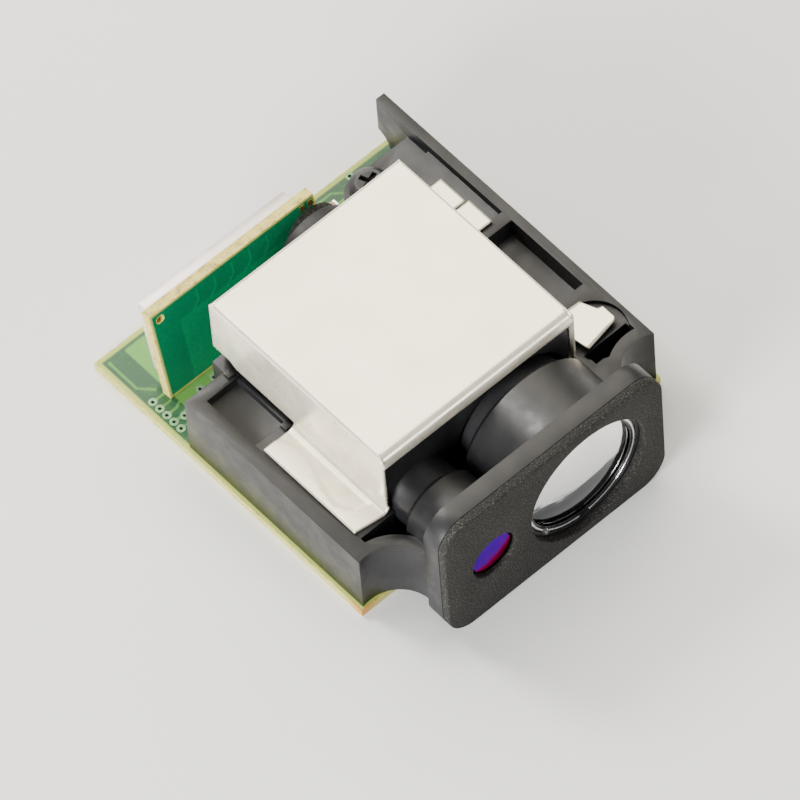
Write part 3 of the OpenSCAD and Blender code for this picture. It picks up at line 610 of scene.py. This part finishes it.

# %% [markdown]
# ## Foam gasket
# The gasket is cut from foam sheet, so its outer edge is square but its skin rolls over a
# little where the knife pressed. The rounded copy has that roll: its edges are rounded by a
# sixth of a millimetre in three steps.

# %% Gasket
gasket = softened("front_gasket", 0.16 * MM, 3, name="foam_gasket")

# %% [markdown]
# ## Receiver lens
# The lens is turned here from one closed profile: the front ball, the edge and the rear ball.
# The height of a ball face over the edge at a radius r is sqrt(R*R - r*r) - (R - sag).

# %% Receiver lens


def ball_height(radius, sag, edge):
    """Height of a ball face over its edge plane, for the ball that has this sag at the edge radius."""
    ball = (edge ** 2 + sag ** 2) / (2 * sag)
    return np.sqrt(ball ** 2 - radius ** 2) - (ball - sag)


def lens_profile(low, high, front_sag, rear_sag, edge_round=0.00004):
    """Closed profile of a lens between two Y planes: axis, front ball, rounded edge, rear ball, axis."""
    edge = (high[0] - low[0]) / 2
    radius = np.linspace(0, edge, 48)
    front = low[1] + front_sag - ball_height(radius, front_sag, edge)
    rear = high[1] - rear_sag + ball_height(radius, rear_sag, edge)
    front_part = np.stack([radius, front], 1)
    rear_part = np.stack([radius, rear], 1)[::-1]
    front_part[-1, 1] += edge_round
    rear_part[0, 1] -= edge_round
    return np.vstack([front_part, rear_part])


lathe("receiver_lens_ground", lens_profile(lens_low, lens_high, 1.3 * MM, 0.9 * MM), lens_axis, "lens_glass",
      BODY_OF["receiver_lens"], ("receiver_lens",), 160)
lathe("collimator_lens_ground", lens_profile(collimator_low, collimator_high, 0.3 * MM, 0.1 * MM), laser_axis,
      "collimator_coated", BODY_OF["collimator_lens"], ("collimator_lens",), 96)

# %% [markdown]
# ## Shield cover
# The cover is folded from one piece of tinplate. It is made as it is folded: a flat top, and
# along each of its edges a flap whose section is a quarter turn and a straight drop. The
# corners stay open by a hair where two flaps meet. Feet are strips that turn outwards again
# at the bottom of a side wall. All strips share their edge points with the top, so that
# merging makes one sheet, which Solidify then thickens inwards.

# %% Cover sizes
cover_points = np.array([v.co for v in frame["nodes"]["shield_cover"].data.vertices])
top_points = cover_points[cover_points[:, 2] > cover_high[2] - 1e-5]
wall_left, wall_right = top_points[:, 0].min(), top_points[:, 0].max()
wall_front, wall_rear = top_points[:, 1].min(), top_points[:, 1].max()
SHEET = 0.28 * MM
SIDE_BEND = 0.42 * MM
FRONT_BEND = 1.15 * MM
REAR_BEND = 0.7 * MM
CORNER_GAP = 0.05 * MM
foot_top = cover_low[2] + 0.3 * MM
lug_rear = cover_points[cover_points[:, 0] < cover_low[0] + 0.2 * MM][:, 1].max() + 0.9 * MM
print("cover top", np.round(np.array([wall_left, wall_right, wall_front, wall_rear]) / MM, 2), "mm")

# %% Cover surface


def bend(radius, steps, angle=90):
    """Quarter turn from flat to hanging: outward run r*sin(t) and drop r*(1-cos(t))."""
    t = np.radians(np.linspace(0, angle, steps))
    return radius * np.sin(t), radius * (1 - np.cos(t))


def wall_section(radius, drop, steps=9, rows=14):
    """Section of a flap: a quarter turn, then straight down to the full drop."""
    out, down = bend(radius, steps)
    straight = np.linspace(radius, drop, rows)[1:]
    return np.append(out, np.full(len(straight), radius)), np.append(down, straight)


def flap(section, edge, outward, ends, bends, count, axis):
    """Carries a section along one edge of the top. The ends of the strip start at the top's
    corners and run out to the wall's full length while the section turns down."""
    out, down = section
    spread = np.clip(out / max(out.max(), 1e-9), 0, 1)
    low = ends[0] + bends[0] * (1 - spread) + CORNER_GAP * spread
    high = ends[1] - bends[1] * (1 - spread) - CORNER_GAP * spread
    share = np.linspace(0, 1, count)[:, None]
    along = low + share * (high - low)
    across = np.broadcast_to(edge + outward * out, along.shape)
    height = np.broadcast_to(cover_high[2] - down, along.shape)
    return np.stack([across, along, height] if axis == "X" else [along, across, height], -1)


def foot(wall, chosen, reach, lift=0.0, columns=16):
    """Turns the bottom row of a wall outwards for the chosen stations: a hollow quarter turn and a flat tongue."""
    start = wall[chosen, -1]
    outward = np.sign(start[0, 0] - (wall_left + wall_right) / 2)
    turn = np.radians(np.linspace(0, 90, 7))
    hollow = start[0, 2] - foot_top - lift
    run = np.append(hollow * (1 - np.cos(turn)), np.linspace(hollow, reach, columns)[1:])
    drop = np.append(hollow * np.sin(turn), np.full(columns - 1, hollow))
    points = np.repeat(start[:, None], len(run), 1)
    points[..., 0] += outward * run
    points[..., 2] -= drop
    return points


side_count, cross_count = 129, 97
hollow_r = 0.55 * MM
side_drop = cover_high[2] - foot_top - hollow_r
left_wall = flap(wall_section(SIDE_BEND, side_drop, 9, 26), wall_left + SIDE_BEND, -1, (wall_front, wall_rear),
                 (FRONT_BEND, REAR_BEND), side_count, "X")
right_wall = flap(wall_section(SIDE_BEND, side_drop, 9, 26), wall_right - SIDE_BEND, 1, (wall_front, wall_rear),
                  (FRONT_BEND, REAR_BEND), side_count, "X")
front_lip = flap(wall_section(FRONT_BEND, 1.6 * MM, 13, 4), wall_front + FRONT_BEND, -1, (wall_left, wall_right),
                 (SIDE_BEND, SIDE_BEND), cross_count, "Y")
rear_skirt = flap(wall_section(REAR_BEND, 3.9 * MM, 9, 10), wall_rear - REAR_BEND, 1, (wall_left, wall_right),
                  (SIDE_BEND, SIDE_BEND), cross_count, "Y")
top_x, top_y = np.meshgrid(np.linspace(wall_left + SIDE_BEND, wall_right - SIDE_BEND, cross_count),
                           np.linspace(wall_front + FRONT_BEND, wall_rear - REAR_BEND, side_count), indexing="ij")
flat_top = np.stack([top_x, top_y, np.full_like(top_x, cover_high[2])], -1)
print("strips:", left_wall.shape, front_lip.shape)

# %% [markdown]
# The left wall ends a little higher where it stands clear of the bench, so its rows are drawn
# up there by a smooth step. The broad left foot has a stamped hollow with an S-shaped shore,
# which stiffens it: points on the wall's side of the S sink by a tenth of a millimetre.

# %% Slant, feet and stamping
hang = (cover_high[2] - left_wall[..., 2]) / (cover_high[2] - left_wall[..., 2].min())
rise = np.clip((left_wall[..., 1] - (wall_rear - 3.6 * MM)) / (1.3 * MM), 0, 1)
left_wall[..., 2] += hang * rise * rise * (3 - 2 * rise) * 0.55 * MM

lug_stations = np.flatnonzero(left_wall[:, -1, 1] < lug_rear)
left_foot = foot(left_wall, lug_stations, wall_left - cover_low[0] - 0.02 * MM)
shore_y = np.array([-12.6, -11.4, -10.8, -9.3, -6.9, -4.5, -2.3, -0.6, 0.6]) * MM
shore_x = np.array([-13.2, -14.6, -16.2, -16.9, -16.5, -15.5, -15.0, -15.5, -16.2]) * MM
inland = left_foot[..., 0] - np.interp(left_foot[..., 1], shore_y, shore_x)
dish = np.clip(inland / (0.3 * MM), 0, 1)
dish = dish * dish * (3 - 2 * dish)
left_foot[:, 7:, 2] -= (0.10 * MM * dish)[:, 7:]
tip_share = np.clip((-left_foot[..., 0] + wall_left - 0.5 * MM) / (3.5 * MM), 0, 1)
tip = np.clip((wall_front + 1.6 * MM - left_foot[..., 1]) / (1.6 * MM), 0, 1)
left_foot[..., 1] += tip * (tip_share - 0.5) * 0.5 * MM

right_y = right_wall[:, -1, 1] - wall_rear
front_tab = foot(right_wall, np.flatnonzero((right_y > -7.6 * MM) & (right_y < -3.9 * MM)), 5.25 * MM)
rear_tab = foot(right_wall, np.flatnonzero((right_y > -3.85 * MM) & (right_y < -0.15 * MM)), 4.9 * MM, 0.12 * MM)

# The right front lug is a crooked tongue: its front and rear edges are read off along its reach.
right_y = right_wall[:, -1, 1] - wall_front
right_lug = foot(right_wall, np.flatnonzero((right_y > 2.8 * MM) & (right_y < 5.2 * MM)), 6.3 * MM, 0.0, 60)
reach_out = (right_lug[..., 0] - wall_right) / MM
lug_front = np.interp(reach_out, [0, 1.6, 1.95, 6.0, 6.3], [2.8, 2.5, 0.35, 1.1, 1.4])
lug_back = np.interp(reach_out, [0, 0.6, 1.5, 5.0, 5.7, 6.3], [5.2, 5.2, 5.3, 5.1, 3.3, 3.1])
lug_share = np.linspace(0, 1, len(right_lug))[:, None]
right_lug[..., 1] = wall_front + (lug_front + lug_share * (lug_back - lug_front)) * MM

strips = [flat_top, left_wall, right_wall, front_lip, rear_skirt, left_foot, front_tab, rear_tab, right_lug]
starts = np.cumsum([0] + [s.shape[0] * s.shape[1] for s in strips])
cover = make_piece("tin_cover", np.concatenate([s.reshape(-1, 3) for s in strips]),
                   np.concatenate([grid_faces(*s.shape[:2], start) for s, start in zip(strips, starts)]),
                   "cover_tin", "cover", ("shield_cover",), 50)
tidy_mesh(cover.data, outwards=True, near=2e-6)
up_faces = sum(p.normal.z * p.area for p in cover.data.polygons if abs(p.center.z - cover_high[2]) < 1e-6)
if up_faces < 0:
    cover.data.flip_normals()
cover.data.set_sharp_from_angle(angle=math.radians(50))
wall = cover.modifiers.new("sheet", "SOLIDIFY")
wall.thickness = SHEET
wall.offset = -1
print("cover faces", len(cover.data.polygons), "top faces up:", up_faces > 0)

# %% [markdown]
# ## Lacquer skins
# A skin is a fine grid laid on a board's face. Copper areas, tracks and pads are worked out
# as distances to boxes, lines and circles, and raise the skin by the copper's thickness.
# The skin stops short of the board's edge and of every drilled hole, where its border dips
# into the laminate.

# %% Skin tools
SKIN = 0.02 * MM
COPPER = 0.018 * MM


def near_box(x, y, x0, x1, y0, y1, soft=0.05):
    """One inside a box and nought outside it, with a soft border, in millimetres."""
    inside = np.minimum(np.minimum(x - x0, x1 - x), np.minimum(y - y0, y1 - y))
    return np.clip(inside / soft + 0.5, 0, 1)


def near_line(x, y, stops, width, soft=0.05):
    """One on a track that joins its stops with straight runs, nought away from it."""
    best = np.full(x.shape, 1e3)
    for (ax, ay), (bx, by) in zip(stops[:-1], stops[1:]):
        run = max((bx - ax) ** 2 + (by - ay) ** 2, 1e-9)
        share = np.clip(((x - ax) * (bx - ax) + (y - ay) * (by - ay)) / run, 0, 1)
        best = np.minimum(best, np.hypot(x - ax - share * (bx - ax), y - ay - share * (by - ay)))
    return np.clip((width / 2 - best) / soft + 0.5, 0, 1)


def skin(name, x_range, y_range, pitch, copper, rim, holes, to_world, finish, body, flip=False):
    """Grid of points (x, y, height), where the height is the lacquer plus the copper under it,
    and falls below the face at the border and inside holes. Sizes are in millimetres."""
    xs = np.arange(x_range[0], x_range[1] + pitch / 2, pitch)
    ys = np.arange(y_range[0], y_range[1] + pitch / 2, pitch)
    x, y = np.meshgrid(xs, ys, indexing="ij")
    amount = np.clip(copper(x, y), 0, 1)
    height = (SKIN + COPPER * amount) / MM
    for hx, hy, r in holes:
        height = np.where(np.hypot(x - hx, y - hy) < r, -0.03, height)
    height[[0, -1], :] = height[:, [0, -1]] = -0.03
    points = to_world(x, y, height) * MM
    faces = grid_faces(*x.shape)
    keep = (height.ravel()[faces] > 0).any(1)
    faces = faces[keep][:, ::-1] if flip else faces[keep]
    used, faces = np.unique(faces, return_inverse=True)
    piece = make_piece(name, points.reshape(-1, 3)[used], faces.reshape(-1, 4), finish, body, (), 180)
    for label, values in (("copper", amount), ("rim", np.clip(rim(x, y), 0, 1))):
        layer = piece.data.attributes.new(label, "FLOAT", "POINT")
        layer.data.foreach_set("value", values.ravel()[used].astype(np.float32))
    print(name, "faces", len(piece.data.polygons))
    return piece


RING_GAP = 0.08   # millimetres; wider than the gaps between one ring's points


def split_at_gaps(points, axis):
    """The points in groups, parted wherever a gap wider than RING_GAP opens along an axis."""
    ordered = points[np.argsort(points[:, axis])]
    return np.split(ordered, np.flatnonzero(np.diff(ordered[:, axis]) > RING_GAP) + 1)


def ring_centres(node):
    """Centres of a node's separate rings in millimetres: its points are parted along X, then Y."""
    rings = [np.array([v.co for v in frame["nodes"][node].data.vertices]) / MM]
    for axis in (0, 1):
        rings = [part for ring in rings for part in split_at_gaps(ring, axis)]
    return [tuple((ring.min(axis=0) + ring.max(axis=0))[:2] / 2) for ring in rings]


# %% Main board skins
bx0, by0 = board_low[:2] / MM
bx1, by1 = board_high[:2] / MM
board_top, board_bottom = board_high[2] / MM, board_low[2] / MM
screw_low, screw_high = corners("bench_screws")
screw_r = 2.1
screws = [tuple(screw_high[:2] / MM - screw_r), tuple(screw_low[:2] / MM + screw_r)]
wires = ring_centres("wire_eyelets")
print("wire holes", np.round(wires, 2).tolist())


def board_copper(x, y):
    """Broad pours with a bare strip at the left and rear, a few tracks, and pads round the screws."""
    amount = near_box(x, y, bx0 + 3.2, bx1 - 0.8, by0 + 0.8, by1 - 2.4)
    amount = np.maximum(amount, near_box(x, y, bx0 + 3.2, bx0 + 10.5, by1 - 6, by1 - 0.9))
    gap = [(bx0 + 9.2, by1 - 0.9), (bx0 + 9.2, by1 - 5), (bx0 + 14, by1 - 9)]
    amount = np.minimum(amount, 1 - near_line(x, y, gap, 0.22))
    tracks = [[(wx + 0.5, wy), (bx0 + 2.2 + 0.12 * i, wy), (bx0 + 3.4, wy + 0.5)] for i, (wx, wy) in enumerate(wires)]
    tracks += [[(bx0 + 1.1, by1 - 1.0), (bx0 + 1.1, by1 - 5.2), (bx0 + 2.4, by1 - 6.6)],
               [(bx1 - 17, by1 - 1.1), (bx1 - 9.0, by1 - 1.1), (bx1 - 7.2, by1 - 2.6)],
               [(bx1 - 16, by1 - 1.7), (bx1 - 10.0, by1 - 1.7), (bx1 - 9, by1 - 2.8)]]
    for stops in tracks:
        amount = np.maximum(amount, 0.8 * near_line(x, y, stops, 0.24))
    for sx, sy in screws:
        amount = np.maximum(amount, np.clip((3.0 - np.hypot(x - sx, y - sy)) / 0.05, 0, 1))
    return amount


def underside_copper(x, y):
    """Ground pour cut by long tracks, with a field of stitching dots."""
    amount = near_box(x, y, bx0 + 0.9, bx1 - 0.9, by0 + 0.9, by1 - 0.9)
    for i in range(7):
        shift = 2.1 * i
        route = [(bx0 + 3 + shift, by0 + 2), (bx0 + 3 + shift, -2 + shift / 2),
                 (bx0 + 9 + shift, 4 + shift / 2), (bx0 + 9 + shift, by1 - 3)]
        cut = near_line(x, y, route, 0.42)
        amount = np.maximum(np.minimum(amount, 1 - cut), near_line(x, y, route, 0.18))
    dots = np.hypot((x - bx0) % 3.0 - 1.5, (y - by0) % 3.0 - 1.5)
    return np.minimum(amount, np.clip((dots - 0.22) / 0.05 + 0.5, 0.35, 1))


def board_rim(x, y):
    """The pale border of a board, where the lacquer thins out over the last half millimetre."""
    inset = np.minimum(np.minimum(x - bx0, bx1 - x), np.minimum(y - by0, by1 - y))
    return np.clip((0.62 - inset) / 0.16, 0, 1)


RING_HOLE, SCREW_HOLE = 0.42, 1.8   # radii left clear in the lacquer
hole_list = [(x, y, RING_HOLE) for x, y in wires + ring_centres("via_rings")]
hole_list += [(x, y, SCREW_HOLE) for x, y in screws]
skin("board_skin_top", (bx0 + 0.06, bx1 - 0.06), (by0 + 0.06, by1 - 0.06), 0.14, board_copper, board_rim, hole_list,
     lambda x, y, h: np.stack([x, y, board_top + h], -1), "board_lacquer", "module")
skin("board_skin_underside", (bx0 + 0.06, bx1 - 0.06), (by0 + 0.06, by1 - 0.06), 0.15, underside_copper, board_rim,
     hole_list, lambda x, y, h: np.stack([x, y, board_bottom + 0.02 + np.minimum(-h, 0) * 0.3], -1), "board_lacquer",
     "module", True)

# %% [markdown]
# ## Sensor board skins
# The sensor board leans back, so its skins are worked out in the board's own frame and then
# turned. The lean is read from the board itself: it is the direction of its largest face.

# %% Sensor board skins
sensor_mesh = frame["nodes"]["sensor_board"].data
face_area = np.array([p.area for p in sensor_mesh.polygons])
face_normal = np.array([p.normal for p in sensor_mesh.polygons])
front_faces = face_normal[:, 1] < -0.9
front_normal = (face_normal[front_faces] * face_area[front_faces, None]).sum(0)
front_normal /= np.linalg.norm(front_normal)
slope_up = np.array([0, -front_normal[2], front_normal[1]]) * -1
slope_up *= np.sign(slope_up[2])
sensor_points = np.array([v.co for v in sensor_mesh.vertices])
along_slope, through = sensor_points @ slope_up / MM, sensor_points @ front_normal / MM
su0, su1 = along_slope.min(), along_slope.max()
face_front, face_back = through.max(), through.min()
sx0, sx1 = sensor_low[0] / MM, sensor_high[0] / MM
print("sensor board leans", round(math.degrees(math.asin(abs(front_normal[2]))), 2), "degrees")


def sensor_copper(x, u):
    """A pour with a few tracks that run down from the corner hole and from the pads."""
    amount = near_box(x, u, sx0 + 3.4, sx1 - 0.6, su0 + 0.6, su1 - 3.2) * 0.8
    for i in range(5):
        stops = [(sx0 + 6 + 2.3 * i, su1 - 1.0), (sx0 + 6 + 2.3 * i, su1 - 2.4), (sx0 + 5 + 2.3 * i, su1 - 3.4)]
        amount = np.maximum(amount, near_line(x, u, stops, 0.26))
    return amount


def sensor_rim(x, u):
    """The pale border of the sensor board."""
    inset = np.minimum(np.minimum(x - sx0, sx1 - x), np.minimum(u - su0, su1 - u))
    return np.clip((0.34 - inset) / 0.14, 0, 1)


def on_face(offset, sign):
    """Places points of the sensor board's face: x across, u up the slope, height off the face."""
    def place(x, u, h):
        return (np.stack([x, np.zeros_like(x), np.zeros_like(x)], -1) + u[..., None] * slope_up
                + (offset + sign * h)[..., None] * front_normal)
    return place


corner_hole = [(sx0 + 1.2, su1 - 1.2, 0.52)]
skin("sensor_skin_front", (sx0 + 0.05, sx1 - 0.05), (su0 + 0.05, su1 - 0.05), 0.1, sensor_copper, sensor_rim,
     corner_hole, on_face(face_front, 1), "sensor_lacquer", "module")
skin("sensor_skin_back", (sx0 + 0.05, sx1 - 0.05), (su0 + 0.05, su1 - 0.05), 0.14, sensor_copper, sensor_rim,
     corner_hole, on_face(face_back, -1), "sensor_lacquer", "module", True)

# %% [markdown]
# ## A drop of glue
# The lens is fixed with one small drop at its lower left edge. The drop is a squashed ball:
# its radius falls with the cosine of the height angle, and it is turned from a profile.

# %% Glue drop
clip_low, clip_high = corners("lens_circlip")
GLUE_ANGLE = math.radians(223)
ring = (clip_high[0] - clip_low[0]) / 2 - 0.1 * MM
drop_centre = (lens_axis[0] + ring * math.cos(GLUE_ANGLE), 0, lens_axis[2] + ring * math.sin(GLUE_ANGLE))
lift = np.radians(np.linspace(-90, 90, 25))
drop_profile = np.stack([0.42 * MM * np.cos(lift), clip_low[1] + 0.02 * MM + 0.3 * MM * np.sin(lift)], 1)
lathe("glue_drop", drop_profile, drop_centre, "glue", "module", (), 32)
